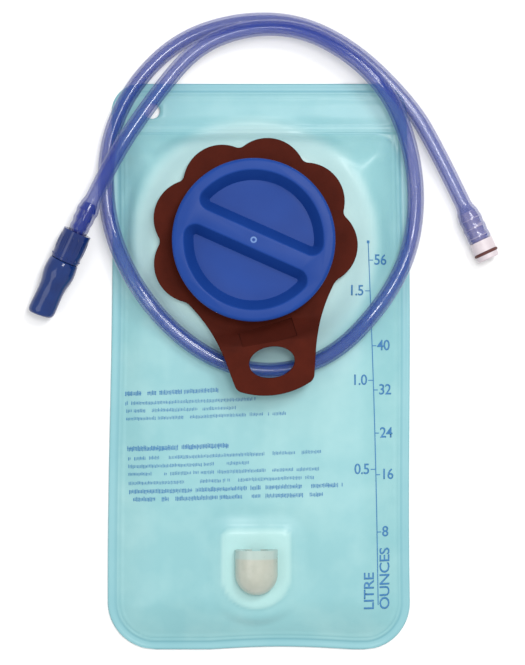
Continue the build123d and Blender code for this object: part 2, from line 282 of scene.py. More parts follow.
def rubber_finish(name, dark, light):
    material, tree, shader = finish(name, roughness=0.6)
    bloom = grain(tree, 420.0)
    colour = mix_colour(tree, bloom, dark, light)
    plug_in(tree, shader, Base_Color=colour, Roughness=0.5 + bloom * 0.25)
    plug_in(tree, shader, Normal=bumps(tree, bloom, 0.06 * mm, 0.4))
    return material


def plug_finish():
    material, tree, shader = finish("plug_white", roughness=0.42)
    cloud = grain(tree, 260.0)
    plug_in(tree, shader, Base_Color=mix_colour(tree, cloud, (0.52, 0.45, 0.48), (0.68, 0.61, 0.64)))
    plug_in(tree, shader, Roughness=0.34 + cloud * 0.16)
    return material


def valve_finish(name, dark, light, roughness):
    """Deep blue, glossy and slightly uneven, as soft silicone or clear-coated plastic is."""
    material, tree, shader = finish(
        name, roughness=roughness, coat=1.0, Coat_Roughness=0.1, Specular_IOR_Level=0.0
    )
    swirl = grain(tree, 120.0)
    plug_in(tree, shader, Base_Color=mix_colour(tree, swirl, dark, light))
    plug_in(tree, shader, Roughness=roughness + swirl * 0.1)
    plug_in(tree, shader, Normal=bumps(tree, grain(tree, 380.0), 0.2 * mm, 0.2))
    return material


cap_blue = cap_finish()
collar_maroon = collar_finish()
seal_red = rubber_finish("seal_red", (0.062, 0.012, 0.010), (0.120, 0.028, 0.022))
plug_white = plug_finish()
stem_blue = valve_finish("stem_blue", (0.010, 0.010, 0.10), (0.024, 0.022, 0.20), 0.16)
spout_blue = valve_finish("spout_blue", (0.001, 0.008, 0.07), (0.003, 0.026, 0.16), 0.2)
mouth_blue = valve_finish("mouth_blue", (0.001, 0.010, 0.08), (0.003, 0.034, 0.18), 0.2)

# %% Clear and milky mouldings
hood_mouth_y = -108.5 * mm


def port_finish():
    material, tree, shader = finish("port_milk", roughness=0.3, coat=0.4, Alpha=0.82)
    cloud = grain(tree, 160.0)
    milk = mix_colour(tree, cloud, (0.42, 0.455, 0.38), (0.575, 0.585, 0.50))
    hollow = node(tree, "ShaderNodeClamp", {}, (own_place(tree, 1) - hood_mouth_y) / (0.8 * mm))
    colour = mix_colour(tree, hollow * 0.6, milk, (0.42, 0.60, 0.58))
    plug_in(tree, shader, Base_Color=colour, Roughness=0.22 + cloud * 0.16)
    return material


def neck_finish():
    material, tree, shader = finish("neck_clear", roughness=0.3, coat=0.2, Alpha=0.92)
    cloud = grain(tree, 140.0)
    colour = mix_colour(tree, cloud, (0.42, 0.62, 0.66), (0.55, 0.74, 0.78))
    plug_in(tree, shader, Base_Color=colour, Roughness=0.25 + cloud * 0.15)
    return material


def hose_finish():
    """Clear violet-blue tube: seen edge on, more plastic is in the way, so it looks denser there."""
    material, tree, shader = finish("hose_clear", roughness=0.14, coat=1.0, Coat_Roughness=0.12)
    edge = node(tree, "ShaderNodeLayerWeight", {}, Blend=0.35, out=1)
    cloud = grain(tree, 60.0)
    body = mix_colour(tree, cloud, (0.008, 0.034, 0.33), (0.020, 0.066, 0.42))
    colour = mix_colour(tree, edge, body, (0.020, 0.018, 0.24))
    plug_in(tree, shader, Base_Color=colour, Alpha=0.29 + edge**1.6 * 0.6)
    return material


port_milk = port_finish()
neck_clear = neck_finish()
hose_clear = hose_finish()
print("finishes:", len(bpy.data.materials))

# %% [markdown]
# ## The hose
# The real hose is one clear tube, laid in about one and a half turns over and round the bag, and
# stretched over barbs at both ends. It could be a bevelled curve, but a bevel can't swell where the
# barbs are. So its line is a NURBS curve with a few listed points, and a small Geometry Nodes
# tree sweeps a circle along that line and swells it over the barbs. The Solidify modifier then gives
# it a wall, so that the bore shows as a core of another tone, which makes a clear tube look hollow.

# %% The hose's line
hose_radius = 4.75 * mm
hose_wall = 1.55 * mm
hose_route = [
    (-0.1032, 0.0761, 0.0129),
    (-0.0853, 0.1145, 0.0170),
    (-0.0600, 0.1520, 0.0148),
    (-0.0370, 0.1800, 0.0146),
    (-0.0090, 0.1915, 0.0144),
    (0.0220, 0.1915, 0.0144),
    (0.0500, 0.1775, 0.0154),
    (0.0720, 0.1560, 0.0164),
    (0.0850, 0.1270, 0.0082),
    (0.0895, 0.0950, 0.0064),
    (0.0850, 0.0640, 0.0066),
    (0.0695, 0.0355, 0.0174),
    (0.0430, 0.0070, 0.0154),
    (0.0110, -0.0040, 0.0154),
    (-0.0210, 0.0010, 0.0154),
    (-0.0480, 0.0185, 0.0154),
    (-0.0695, 0.0440, 0.0175),
    (-0.0840, 0.0735, 0.0069),
    (-0.0885, 0.1040, 0.0057),
    (-0.0850, 0.1340, 0.0064),
    (-0.0700, 0.1630, 0.0064),
    (-0.0450, 0.1865, 0.0050),
    (-0.0120, 0.1970, 0.0049),
    (0.0220, 0.1960, 0.0049),
    (0.0530, 0.1805, 0.0052),
    (0.0800, 0.1545, 0.0066),
    (0.0977, 0.1299, 0.0066),
    (0.1251, 0.0714, 0.0074),
]
hose_curve = bpy.data.curves.new("hose", "CURVE")
hose_curve.dimensions = "3D"
hose_curve.resolution_u = 56
hose_spline = hose_curve.splines.new("NURBS")
hose_spline.points.add(len(hose_route) - 1)
for control, place in zip(hose_spline.points, hose_route):
    control.co = (*place, 1.0)
hose_spline.order_u = 3
hose_spline.use_endpoint_u = True
hose = linked("hose", hose_curve)


def plain_mesh(piece):
    """The piece as its modifiers leave it, as a new mesh."""
    depsgraph = bpy.context.evaluated_depsgraph_get()
    return bpy.data.meshes.new_from_object(piece.evaluated_get(depsgraph), depsgraph=depsgraph)


def from_shape(name, shape):
    """Turn a bmesh into a linked object."""
    mesh = bpy.data.meshes.new(name)
    shape.to_mesh(mesh)
    shape.free()
    return linked(name, mesh)


hose_line = [vertex.co.copy() for vertex in plain_mesh(hose).vertices]
hose_length = sum((after - before).length for before, after in zip(hose_line, hose_line[1:]))
print("hose line:", len(hose_line), "points,", round(hose_length, 4), "m")

# %% Sweep the hose and swell it over the barbs
def new_tree(name, sizes):
    """A Geometry Nodes tree with one named input for each size."""
    tree = bpy.data.node_groups.new(name, "GeometryNodeTree")
    tree.interface.new_socket("Geometry", in_out="INPUT", socket_type="NodeSocketGeometry")
    for key, value in sizes.items():
        kind = "NodeSocketInt" if isinstance(value, int) else "NodeSocketFloat"
        tree.interface.new_socket(key, in_out="INPUT", socket_type=kind).default_value = value
    tree.interface.new_socket("Geometry", in_out="OUTPUT", socket_type="NodeSocketGeometry")
    start = tree.nodes.new("NodeGroupInput")
    flows = {socket.name: Flow(tree, socket) for socket in start.outputs if socket.name}
    return tree, flows


def end_tree(tree, shape, material):
    """Close a tree: realize its instances, set its material and send it out."""
    real = node(tree, "GeometryNodeRealizeInstances", {}, Geometry=shape)
    painted = node(tree, "GeometryNodeSetMaterial", {}, Geometry=real, Material=material)
    out = tree.nodes.new("NodeGroupOutput")
    tree.links.new(painted.socket, out.inputs["Geometry"])


def join(tree, *shapes):
    """Join shapes into one."""
    joined = tree.nodes.new("GeometryNodeJoinGeometry")
    for shape in shapes:
        tree.links.new(shape.socket, joined.inputs["Geometry"])
    return Flow(tree, joined.outputs["Geometry"])


def grow(piece, tree):
    """Put a tree on a piece, keep what it makes as a plain mesh, and return the new object."""
    modifier = piece.modifiers.new(tree.name, "NODES")
    modifier.node_group = tree
    name = piece.name
    mesh = plain_mesh(piece)
    bpy.data.objects.remove(piece)
    return linked(name, mesh)


hose_sizes = {
    "Radius": hose_radius,
    "Step": 1.6 * mm,
    "Round": 48,
    "Plug cuff": 23.0 * mm,
    "Plug swell": 1.8 * mm,
    "Valve cuff": 21.5 * mm,
    "Valve swell": 1.25 * mm,
    "Barb pitch": 5.4 * mm,
    "Barb ripple": 0.22 * mm,
}
hose_tree, size = new_tree("sweep_hose", hose_sizes)
along = node(hose_tree, "GeometryNodeSplineParameter", {}, out=1)
whole = node(hose_tree, "GeometryNodeCurveLength", {}, Curve=size["Geometry"])
first_barb = 2.4 * mm
full_share = 0.66


def cuff(distance, length, swell):
    """How far the hose swells at this distance from an end; the swell is full up to full_share."""
    stretch = {"From Min": length, "From Max": length * full_share, "To Min": 0.0, "To Max": 1.0}
    eased = {"interpolation_type": "SMOOTHSTEP"}
    rise = node(hose_tree, "ShaderNodeMapRange", eased, Value=distance, **stretch)
    turn = (distance - first_barb) / size["Barb pitch"] * (2 * pi)
    ripple = node(hose_tree, "ShaderNodeMath", {"operation": "COSINE"}, turn)
    return rise * (swell + ripple * size["Barb ripple"])


swell_at_tip = 0.55
swell_gain_per_metre = 45.0
valve_taper = size["Valve swell"] * (swell_at_tip + along * swell_gain_per_metre)
swollen = size["Radius"] + cuff(whole - along, size["Plug cuff"], size["Plug swell"])
swollen = swollen + cuff(along, size["Valve cuff"], valve_taper)
by_length = {"mode": "LENGTH"}
fine = node(
    hose_tree, "GeometryNodeResampleCurve", by_length, Curve=size["Geometry"], Length=size["Step"]
)
ring = node(hose_tree, "GeometryNodeCurvePrimitiveCircle", {}, Radius=1.0, Resolution=size["Round"])
tube = node(hose_tree, "GeometryNodeCurveToMesh", {}, fine, ring, Scale=swollen)
smooth = node(hose_tree, "GeometryNodeSetShadeSmooth", {}, Geometry=tube)
end_tree(hose_tree, smooth, hose_clear)
hose = grow(hose, hose_tree)
print("hose:", len(hose.data.polygons), "faces before its wall")

# %% Give the hose its wall
hose.data.shade_smooth()
wall = hose.modifiers.new("wall", "SOLIDIFY")
wall.thickness = hose_wall
wall.offset = -1.0
wall.use_quality_normals = True
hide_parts("drink_tube")
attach(hose, root)

# %% [markdown]
# ## The film
# The bag is two sheets of clear film, welded together round the edge, across the header and round
# the neck and port. A cloth simulation could fill it, but the welds, the neck and the port have to
# stay exactly where the frame has them. So a formula gives the height of the front sheet at any
# point, in millimetres: flat welds, a soft bulge over the water, a rise to the neck, a step over the
# port's flange, folds, and a dent wherever the hose presses. A grid that is finer along the welds
# carries that height, so that the weld beads are real shape and not only shading.

# %% The film's outline, in millimetres
low_corner, high_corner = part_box("back_film")
bag_bottom = low_corner.y / mm
bag_top = high_corner.y / mm
bottom_half = high_corner.x / mm + 0.2
top_half = bottom_half - 2.3
bottom_round = 27.0
top_round = 16.0
weld_width = 5.0
header_seal = 133.0
hang_hole = (-61.5, 145.5, 4.5)


def side(y):
    """Half the bag's width, corners left out."""
    return bottom_half + (top_half - bottom_half) * (y - bag_bottom) / (bag_top - bag_bottom)


def half_width(y):
    """Half the bag's width at this height, with its rounded corners."""
    short = max(bottom_round - (y - bag_bottom), 0.0)
    if short > 0.0:
        return side(y) - bottom_round + sqrt(bottom_round**2 - short**2)
    short = min(max(top_round - (bag_top - y), 0.0), top_round)
    return side(y) - top_round + sqrt(top_round**2 - short**2)


def depth_inside(x, y, bottom, top, margin, low_round, high_round):
    """How far a point is inside a rounded outline that starts `margin` in from the bag's sides."""
    corner = low_round if y < 0.0 else high_round
    across = abs(x) - (side(y) - margin - corner)
    up = abs(y - (top + bottom) / 2) - ((top - bottom) / 2 - corner)
    return corner - hypot(max(across, 0.0), max(up, 0.0)) - min(max(across, up), 0.0)


def from_edge(x, y):
    """How far a point is inside the film's cut edge."""
    return depth_inside(x, y, bag_bottom, bag_top, 0.0, bottom_round, top_round)


def ease(share):
    """0 below 0, 1 above 1, and a smooth step between."""
    share = min(max(share, 0.0), 1.0)
    return share * share * (3.0 - 2.0 * share)


def bead(distance, width, height):
    """A round-topped bead: its height falls off on both sides over `width`."""
    return height * exp(-((distance / width) ** 2))


def folds(x, y, wide, long, seed):
    """Soft noise stretched along y, between -1 and 1."""
    return noise.noise(Vector((x / wide, y / long, seed)))

# %% What shapes the front film
hose_map = KDTree(len(hose_line))
for index, place in enumerate(hose_line):
    hose_map.insert((place.x / mm, place.y / mm, 0.0), index)
hose_map.balance()
print("hose points for the dents:", len(hose_line))


def under_hose(x, y):
    """How high the film may be here without touching the hose."""
    radius = hose_radius / mm
    gap = 0.35
    ceiling = 99.0
    for _, index, distance in hose_map.find_range((x, y, 0.0), 2.2 * radius):
        across = min(distance, 0.96 * radius)
        lowest = hose_line[index].z / mm - sqrt(radius**2 - across**2) - gap
        ceiling = min(ceiling, lowest + max(distance - across, 0.0) * 0.9)
    return ceiling


port_low, port_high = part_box("outlet_port")
port_x = (port_low.x + port_high.x) / 2 / mm
port_half = (port_high.x - port_low.x) / 2 / mm
port_round_y = port_low.y / mm + port_half
port_flat_y = port_high.y / mm
port_corner = 5.0


def port_depth(x, y):
    """How far a point is inside the outline of the port's D-shaped flange."""
    across = abs(x - port_x)
    if y < port_round_y:
        return port_half - hypot(across, y - port_round_y)
    right = across - (port_half - port_corner)
    up = y - (port_flat_y - port_corner)
    return port_corner - hypot(max(right, 0.0), max(up, 0.0)) - min(max(right, up), 0.0)


# %% Parts of the front film's height, all in millimetres
weld_level = 1.0
full_bulge = 9.0
lowest_level = 0.75


def bulge(pool, around, flange):
    """The soft bulge over the water, held up where the neck and the port are welded in."""
    slope = 1.0 - min(max(pool / 26.0, 0.0), 1.0)
    at_port = 1.0 - ease((flange + 11.0) / 10.0)
    at_neck = 1.0 - ease((78.0 - around) / 16.0) * ease(pool / 10.0)
    filled = 1.0 - slope * at_port * at_neck
    return full_bulge * sin(filled * pi / 2) ** 1.1


def weld_beads(x, y, edge):
    """The beads that the welding tool leaves along the edge, the header and the hanging hole."""
    height = bead(edge - 1.2, 0.6, 0.18) + bead(edge - 5.4, 0.8, 0.5) + bead(edge - 7.6, 0.7, 0.28)
    if edge > weld_width:
        height += bead(y - header_seal - 1.0, 0.8, 0.55) + bead(y - header_seal - 3.2, 0.7, 0.3)
    hole = hypot(x - hang_hole[0], y - hang_hole[1])
    return height + bead(hole - hang_hole[2] - 1.0, 0.8, 0.45)


def header_puff(x, y):
    """The header is welded only round its edge, so it is a little puffed."""
    header = depth_inside(x, y, header_seal + 3.0, bag_top - 6.0, 6.0, 8.0, 8.0)
    return 0.5 * ease(header / 7.0) + 0.25 * ease(header / 5.0) * folds(x, y, 26.0, 11.0, 4.1)


def slack_folds(x, y, pool, around):
    """Broad folds, long narrow ones below the collar, and short puckers along the side welds."""
    slack = ease(pool / 14.0) * ease((around - 60.0) / 14.0)
    height = slack * (1.0 * folds(x, y, 44.0, 60.0, 0.3) + 0.45 * folds(x, y, 17.0, 70.0, 2.7))
    below = exp(-(((x - 12.0) / 34.0) ** 2) - ((y + 42.0) / 38.0) ** 2)
    height += slack * 0.7 * below * folds(x - 0.12 * y, y, 6.5, 60.0, 7.9)
    pucker = ease(pool / 3.0) * exp(-max(pool, 0.0) / 9.0)
    return height + pucker * 0.55 * folds(pool, y, 14.0, 5.5, 5.2)


def lifted(around, flange):
    """The rise to the neck's flange and the step over the port's flange."""
    neck_rise = 8.0 * ease((68.0 - around) / 15.0) + bead(around - 71.0, 2.2, 0.12)
    port_step = 1.25 * ease((flange + 0.8) / 2.2) - 0.5 * exp(-(((flange + 8.0) / 4.0) ** 2))
    return neck_rise + port_step


def front_height(x, y):
    """Height of the front film's outer face at a point, pressed down where the hose lies on it."""
    edge = from_edge(x, y)
    pool = depth_inside(x, y, bag_bottom + weld_width, header_seal, weld_width, 22.0, 14.0)
    flange = port_depth(x, y)
    around = hypot(x - neck_x, y - neck_y)
    height = weld_level + bulge(pool, around, flange) + header_puff(x, y)
    height += weld_beads(x, y, edge) + slack_folds(x, y, pool, around) + lifted(around, flange)
    gap = under_hose(x, y) - height
    if gap < 0.8:
        height += min(gap, 0.0) - 0.2 * (1.0 - max(gap, 0.0) / 0.8) ** 2
    return max(height, lowest_level)


# %% Lay a grid over the bag
def stations(start, *stretches):
    """Places along a line: each stretch is (where it ends, how far apart its places are)."""
    places = [start]
    for end, step in stretches:
        count = max(round((end - start) / step), 1)
        places += [start + (end - start) * (index + 1) / count for index in range(count)]
        start = end
    return places


columns = stations(-1.0, (-0.87, 0.0095), (0.87, 0.024), (1.0, 0.0095))
foot_rows = ((-149.0, 0.75), (-133.0, 1.3))
header_rows = ((139.0, 0.75), (152.0, 1.3), (bag_top, 0.75))
rows = stations(bag_bottom, *foot_rows, (128.0, 2.0), *header_rows)


def edge_wave(x, y):
    """The cut edge isn't quite straight: it wanders a little along the bottom and the sides."""
    bottom = 1.6 * sin(x / 26.0 + 1.1) * ease((-120.0 - y) / 40.0)
    sides = 0.7 * sin(y / 47.0 + 0.6) * ease((abs(x) - 60.0) / 20.0)
    return x + (sides - 0.3 if x > 0.0 else sides), y + max(bottom, 0.0)


def film_marks(x, y):
    """What the finish has to know about a point of the film, each from about 0 to 1."""
    edge = from_edge(x, y)
    # Painted shade: thin dark lines in the grooves beside the weld beads and along the header seal.
    groove_shade = bead(edge - 4.4, 0.45, 0.8) + bead(edge - 6.6, 0.4, 0.55)
    if edge > weld_width:
        groove_shade += bead(y - header_seal + 0.3, 0.6, 1.0) + bead(y - header_seal - 4.6, 0.5, 0.4)
    return {
        "weld": ease((weld_width + 1.0 - edge) / 1.5) + ease((y - header_seal + 0.5) / 1.5) * 0.6,
        # Painted light: a pale disc round the neck, where the film is stretched up to the neck's
        # rise.
        "painted_halo": ease((74.0 - hypot(x - neck_x, y - neck_y)) / 10.0),
        "milky": ease((port_depth(x, y) + 0.6) / 2.0),
        "groove_shade": groove_shade,
    }


def film_sheet(name, height, holes, thickness):
    """A sheet of film over the whole bag, with round holes punched in it."""
    shape = bmesh.new()
    layers = {key: shape.verts.layers.float.new(key) for key in film_marks(0.0, 0.0)}
    grid = []
    for y in rows:
        line = []
        for column in columns:
            x = column * half_width(y)
            place_x, place_y = edge_wave(x, y)
            vertex = shape.verts.new((place_x * mm, place_y * mm, height(x, y) * mm))
            for key, value in film_marks(x, y).items():
                vertex[layers[key]] = value
            line.append(vertex)
        grid.append(line)
    for lower, upper in zip(grid, grid[1:]):
        for corners in zip(lower, lower[1:], upper[1:], upper):
            shape.faces.new(corners)
    for x, y, radius in holes:
        punch(shape, x * mm, y * mm, radius * mm)
    sheet = from_shape(name, shape)
    sheet.data.shade_smooth()
    skin = sheet.modifiers.new("skin", "SOLIDIFY")
    skin.thickness = thickness * mm
    skin.offset = -1.0
    return sheet


def punch(shape, x, y, radius):
    """Cut a round hole: drop the faces inside it and pull the torn edge out to the circle."""
    middles = [(face, face.calc_center_median()) for face in shape.faces]
    gone = [face for face, middle in middles if hypot(middle.x - x, middle.y - y) < radius]
    rim = {vertex for face in gone for vertex in face.verts}
    bmesh.ops.delete(shape, geom=gone, context="FACES")
    for vertex in rim:
        if vertex.is_valid and vertex.link_faces:
            away = Vector((vertex.co.x - x, vertex.co.y - y))
            away *= radius / max(away.length, 1e-6)
            vertex.co.x, vertex.co.y = x + away.x, y + away.y


def mark(tree, name):
    """One of the marks that the film's points carry."""
    return node(tree, "ShaderNodeAttribute", {"attribute_name": name}, out=2)


def film_finish():
    """Aqua film, cloudy in tone, with painted highlight patches, painted shade in the weld grooves
    and a painted light halo round the neck; paler where the port's white flange is behind it.
    """
    material, tree, shader = finish(
        "film_aqua", roughness=0.4, coat=0.12, Coat_Roughness=0.18, Alpha=0.93
    )
    cloud = grain(tree, 14.0, detail=2.0)
    # Painted highlight: pale, soft-edged patches of lighter aqua stand in for cloudy highlights of
    # the soft light on the film.
    painted_sheen = grain(tree, 34.0)
    colour = mix_colour(tree, cloud, (0.215, 0.470, 0.505), (0.278, 0.552, 0.573))
    colour = mix_colour(tree, (painted_sheen - 0.42) * 1.5, colour, (0.385, 0.64, 0.64))
    colour = mix_colour(tree, mark(tree, "weld") * 0.5, colour, (0.195, 0.445, 0.51))
    # Painted shade: the grooves beside the weld beads are mixed towards dark teal.
    colour = mix_colour(tree, mark(tree, "groove_shade") * 0.55, colour, (0.10, 0.33, 0.40))
    # Painted light: the film is mixed towards pale aqua inside the disc round the neck, unevenly with
    # the cloud.
    painted_halo = mark(tree, "painted_halo") * (0.3 + cloud * 0.5)
    colour = mix_colour(tree, painted_halo, colour, (0.56, 0.73, 0.72))
    colour = mix_colour(tree, mark(tree, "milky") * 0.5, colour, (0.50, 0.76, 0.72))
    fine = grain(tree, 900.0, detail=2.0)
    plug_in(tree, shader, Base_Color=colour, Roughness=0.36 + cloud * 0.16)
    plug_in(tree, shader, Normal=bumps(tree, fine, 0.02 * mm, 0.25))
    return material


film_aqua = film_finish()
neck_hole = (neck_x, neck_y, 42.0)
back_level = 0.42
front_sheet = film_sheet("front_sheet", front_height, [neck_hole, hang_hole], thickness=0.4)
back_sheet = film_sheet("back_sheet", lambda x, y: back_level, [hang_hole], thickness=0.38)
for sheet, cad_name in ((front_sheet, "front_film"), (back_sheet, "back_film")):
    sheet.data.materials.append(film_aqua)
    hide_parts(cad_name)
    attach(sheet, root)
    print(sheet.name, len(sheet.data.polygons), "faces")

# %% [markdown]
# ## Prints on the film
# The front carries a blue scale with its numbers, and two blocks of small print. An image could
# show them, but ink that is real shape stays sharp and needs no file. The small print has no
# letters: a Geometry Nodes tree walks along each line and leaves a random stem or bar every
# millimetre, with gaps for words. Everything is then dropped on the film from above, so the ink
# follows its folds, and gets a thickness of a few hundredths of a millimetre.

# %% Ink
def ink_finish():
    material, tree, shader = finish("ink_blue", roughness=0.45)
    wear = grain(tree, 500.0, detail=4.0)
    colour = mix_colour(tree, wear, (0.018, 0.130, 0.35), (0.070, 0.27, 0.52))
    plug_in(tree, shader, Base_Color=colour, Alpha=1.15 - wear * 0.55)
    return material


ink_blue = ink_finish()
depsgraph = bpy.context.evaluated_depsgraph_get()
film_top = BVHTree.FromObject(front_sheet, depsgraph)
straight_down = Vector((0.0, 0.0, -1.0))


ink_lift = 0.1 * mm
ink_thickness = 0.05 * mm
most_cuts = 6


def drop_on_film(piece, step=1.4 * mm):
    """Cut a flat piece finely, lay it on the front film and give it a little thickness."""
    shape = bmesh.new()
    shape.from_mesh(piece.data)
    bmesh.ops.remove_doubles(shape, verts=shape.verts, dist=1e-6)
    for _ in range(most_cuts):
        long_edges = [edge for edge in shape.edges if edge.calc_length() > step]
        if not long_edges:
            break
        bmesh.ops.subdivide_edges(shape, edges=long_edges, cuts=1)
    bmesh.ops.triangulate(shape, faces=shape.faces)
    for vertex in shape.verts:
        above = Vector((vertex.co.x, vertex.co.y, 0.1))
        hit = film_top.ray_cast(above, straight_down)[0]
        vertex.co.z = hit.z + ink_lift
    bmesh.ops.recalc_face_normals(shape, faces=shape.faces)
    up = sum(face.normal.z * face.calc_area() for face in shape.faces)
    if up < 0.0:
        bmesh.ops.reverse_faces(shape, faces=shape.faces)
    shape.to_mesh(piece.data)
    shape.free()
    layer = piece.modifiers.new("ink_layer", "SOLIDIFY")
    layer.thickness = ink_thickness
    layer.offset = 1.0
    piece.data.materials.clear()
    piece.data.materials.append(ink_blue)
    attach(piece, root)
    print(piece.name, len(piece.data.polygons), "faces")


# %% The scale: its line, its ticks and its numbers
scale_top = 70.7
scale_foot = -135.1
line_width = 0.5
type_height = 5.8
word_place = {"turn": pi / 2, "wide": 1.14}
capital_share = 0.69
print_height = 40.0 * mm
litre_marks = {43.0: "1.5", -7.7: "1.0", -58.2: "0.5"}
ounce_marks = {60.4: "56", 35.6: "", 11.9: "40", -13.2: "32", -37.7: "24", -61.3: "16", -93.8: "8"}


def scale_x(y):
    """The scale leans a little and bows with the film."""
    down = (scale_top - y) / (scale_top - scale_foot)
    return 61.2 + 5.8 * down + 0.9 * sin(down * pi)


def strip(shape, start, end, width):
    """A flat bar between two points in millimetres."""
    start, end = (Vector((x * mm, y * mm, print_height)) for x, y in (start, end))
    along = (end - start).normalized()
    side_step = Vector((-along.y, along.x, 0.0)) * width * mm / 2
    corners = (start - side_step, end - side_step, end + side_step, start + side_step)
    shape.faces.new([shape.verts.new(corner) for corner in corners])


def number(name, body, x, y, tall, turn=0.0, align="LEFT", wide=0.92):
    """Flat type, `tall` millimetres high, centred on y."""
    type_curve = bpy.data.curves.new(name, "FONT")
    type_curve.body = body
    type_curve.size = tall * mm / capital_share
    type_curve.align_x = align
    type_curve.align_y = "CENTER"
    type_curve.space_character = 0.94
    type_curve.resolution_u = 3
    type_curve.offset = 0.013 * tall * mm
    typed = linked(name, type_curve)
    mesh = plain_mesh(typed)
    bpy.data.objects.remove(typed)
    place = Vector((x * mm, y * mm, print_height))
    mesh.transform(Matrix.LocRotScale(place, Euler((0.0, 0.0, turn)), Vector((wide, 1.0, 1.0))))
    return linked(name, mesh)


scale_shape = bmesh.new()
levels = stations(scale_foot, (scale_top, 6.0))
for low_y, high_y in zip(levels, levels[1:]):
    strip(scale_shape, (scale_x(low_y), low_y), (scale_x(high_y), high_y + 0.02), line_width)
for y in litre_marks:
    strip(scale_shape, (scale_x(y) - 2.9, y), (scale_x(y), y), line_width)
for y in ounce_marks:
    strip(scale_shape, (scale_x(y), y), (scale_x(y) + 2.4, y), line_width)
top_x = scale_x(scale_top)
strip(scale_shape, (top_x, scale_top - 0.8), (top_x, scale_top + 0.8), 3 * line_width)
print_pieces = [from_shape("scale_line", scale_shape)]
for index, (y, body) in enumerate(litre_marks.items()):
    name = f"litre_mark_{index}"
    print_pieces.append(number(name, body, scale_x(y) - 3.4, y, type_height, align="RIGHT"))
for index, (y, body) in enumerate(ounce_marks.items()):
    if body:
        name = f"ounce_mark_{index}"
        print_pieces.append(number(name, body, scale_x(y) + 2.8, y, type_height))
print_pieces.append(number("litre_word", "LITRE", 62.0, -138.0, 5.6, **word_place))
print_pieces.append(number("ounce_word", "OUNCES", 71.0, -138.0, 5.6, **word_place))
for piece in print_pieces:
    drop_on_film(piece)

# %% Small print, with no letters
# Each line of it: where it starts and ends, in millimetres, and how heavy its strokes are.
small_print = [
    ((-76.4, -15.7), (-23.9, -13.4), 1.35),
    ((-76.4, -21.1), (-2.9, -18.4), 1.0),
    ((-75.8, -25.4), (-14.0, -23.4), 1.0),
    ((-75.8, -29.9), (14.3, -26.5), 1.0),
    ((-75.2, -47.0), (-18.2, -44.7), 1.45),
    ((-74.7, -52.4), (34.2, -48.2), 1.0),
    ((-74.7, -57.0), (-5.7, -54.4), 1.0),
    ((-74.7, -61.3), (33.1, -57.9), 1.0),
    ((-74.4, -66.4), (30.2, -62.7), 1.0),
    ((-74.1, -71.3), (46.5, -67.0), 1.25),
    ((-71.8, -75.5), (35.3, -72.4), 1.25),
]
guide = bmesh.new()
heavy = guide.verts.layers.float.new("heavy")
for start, end, weight in small_print:
    ends = [guide.verts.new((x * mm, y * mm, print_height)) for x, y in (start, end)]
    for vertex in ends:
        vertex[heavy] = weight
    guide.edges.new(ends)
words = from_shape("small_print", guide)

print_sizes = {"Pitch": 0.86 * mm, "Stem": 0.34 * mm, "Tall": 1.75 * mm, "Gap": 0.37, "Seed": 3}
print_tree, size = new_tree("lay_small_print", print_sizes)
lines = node(print_tree, "GeometryNodeMeshToCurve", {}, size["Geometry"])
steps = node(print_tree, "GeometryNodeResampleCurve", by_length, Curve=lines, Length=size["Pitch"])
weight = node(print_tree, "GeometryNodeInputNamedAttribute", {"data_type": "FLOAT"}, "heavy")
place = node(print_tree, "GeometryNodeInputPosition", {})
word_noise = node(print_tree, "ShaderNodeTexNoise", {}, Vector=place, Scale=190.0, Detail=1.0)
is_word = node(print_tree, "ShaderNodeMath", {"operation": "GREATER_THAN"}, word_noise, size["Gap"])


def random_value(low, high, seed):
    """A random number for each step along the lines."""
    kind = {"data_type": "FLOAT"}
    return node(
        print_tree, "FunctionNodeRandomValue", kind, None, None, low, high, Seed=seed, out=1
    )


def strokes(wide, tall, lift, wide_range, tall_range, seed):
    """Small rectangles on the steps, each with its own width, height and lift."""
    card = node(print_tree, "GeometryNodeMeshGrid", {}, wide, tall, 2, 2)
    across = random_value(*wide_range, seed) * weight
    upright = random_value(*tall_range, seed + 1) * weight
    stretch = node(print_tree, "ShaderNodeCombineXYZ", {}, across, upright, 1.0)
    laid = {"Points": steps, "Selection": is_word, "Instance": card, "Scale": stretch}
    spread = node(print_tree, "GeometryNodeInstanceOnPoints", {}, **laid)
    up = node(print_tree, "ShaderNodeCombineXYZ", {}, 0.0, random_value(*lift, seed + 2), 0.0)
    return node(print_tree, "GeometryNodeTranslateInstances", {}, Instances=spread, Translation=up)


stem_lift = (-0.1 * mm, 0.35 * mm)
bar_lift = (-0.75 * mm, 0.75 * mm)
stems = strokes(size["Stem"], size["Tall"], stem_lift, (0.7, 1.2), (0.75, 1.2), size["Seed"])
bars = strokes(size["Pitch"], size["Stem"], bar_lift, (0.35, 0.8), (0.7, 1.0), size["Seed"] + 10)
end_tree(print_tree, join(print_tree, bars, stems), ink_blue)
words = grow(words, print_tree)
drop_on_film(words, step=2.6 * mm)
print_pieces.append(words)

# %% The two sheets as they were cut
cut_area = sum(2.0 * half_width(y + 0.5) for y in range(int(bag_bottom), int(bag_top))) * mm * mm
print("cut area of a sheet, m2:", round(cut_area, 5))

# %% [markdown]
# ## Finished mouldings
# The cap, collar, port and spout have the right shape in the frame already, but their edges are as
# sharp as a drawing's. Modelling them again would only risk the fit. So each is copied, its loose
# triangles are joined, flat areas are cleaned, and its sharp edges get the small round that a mould
# leaves, which catches the light. The copy then stands for the frame's own node.

# %% Copy a node and round its edges
sharp_angle = radians(32)
flat_angle = radians(0.8)


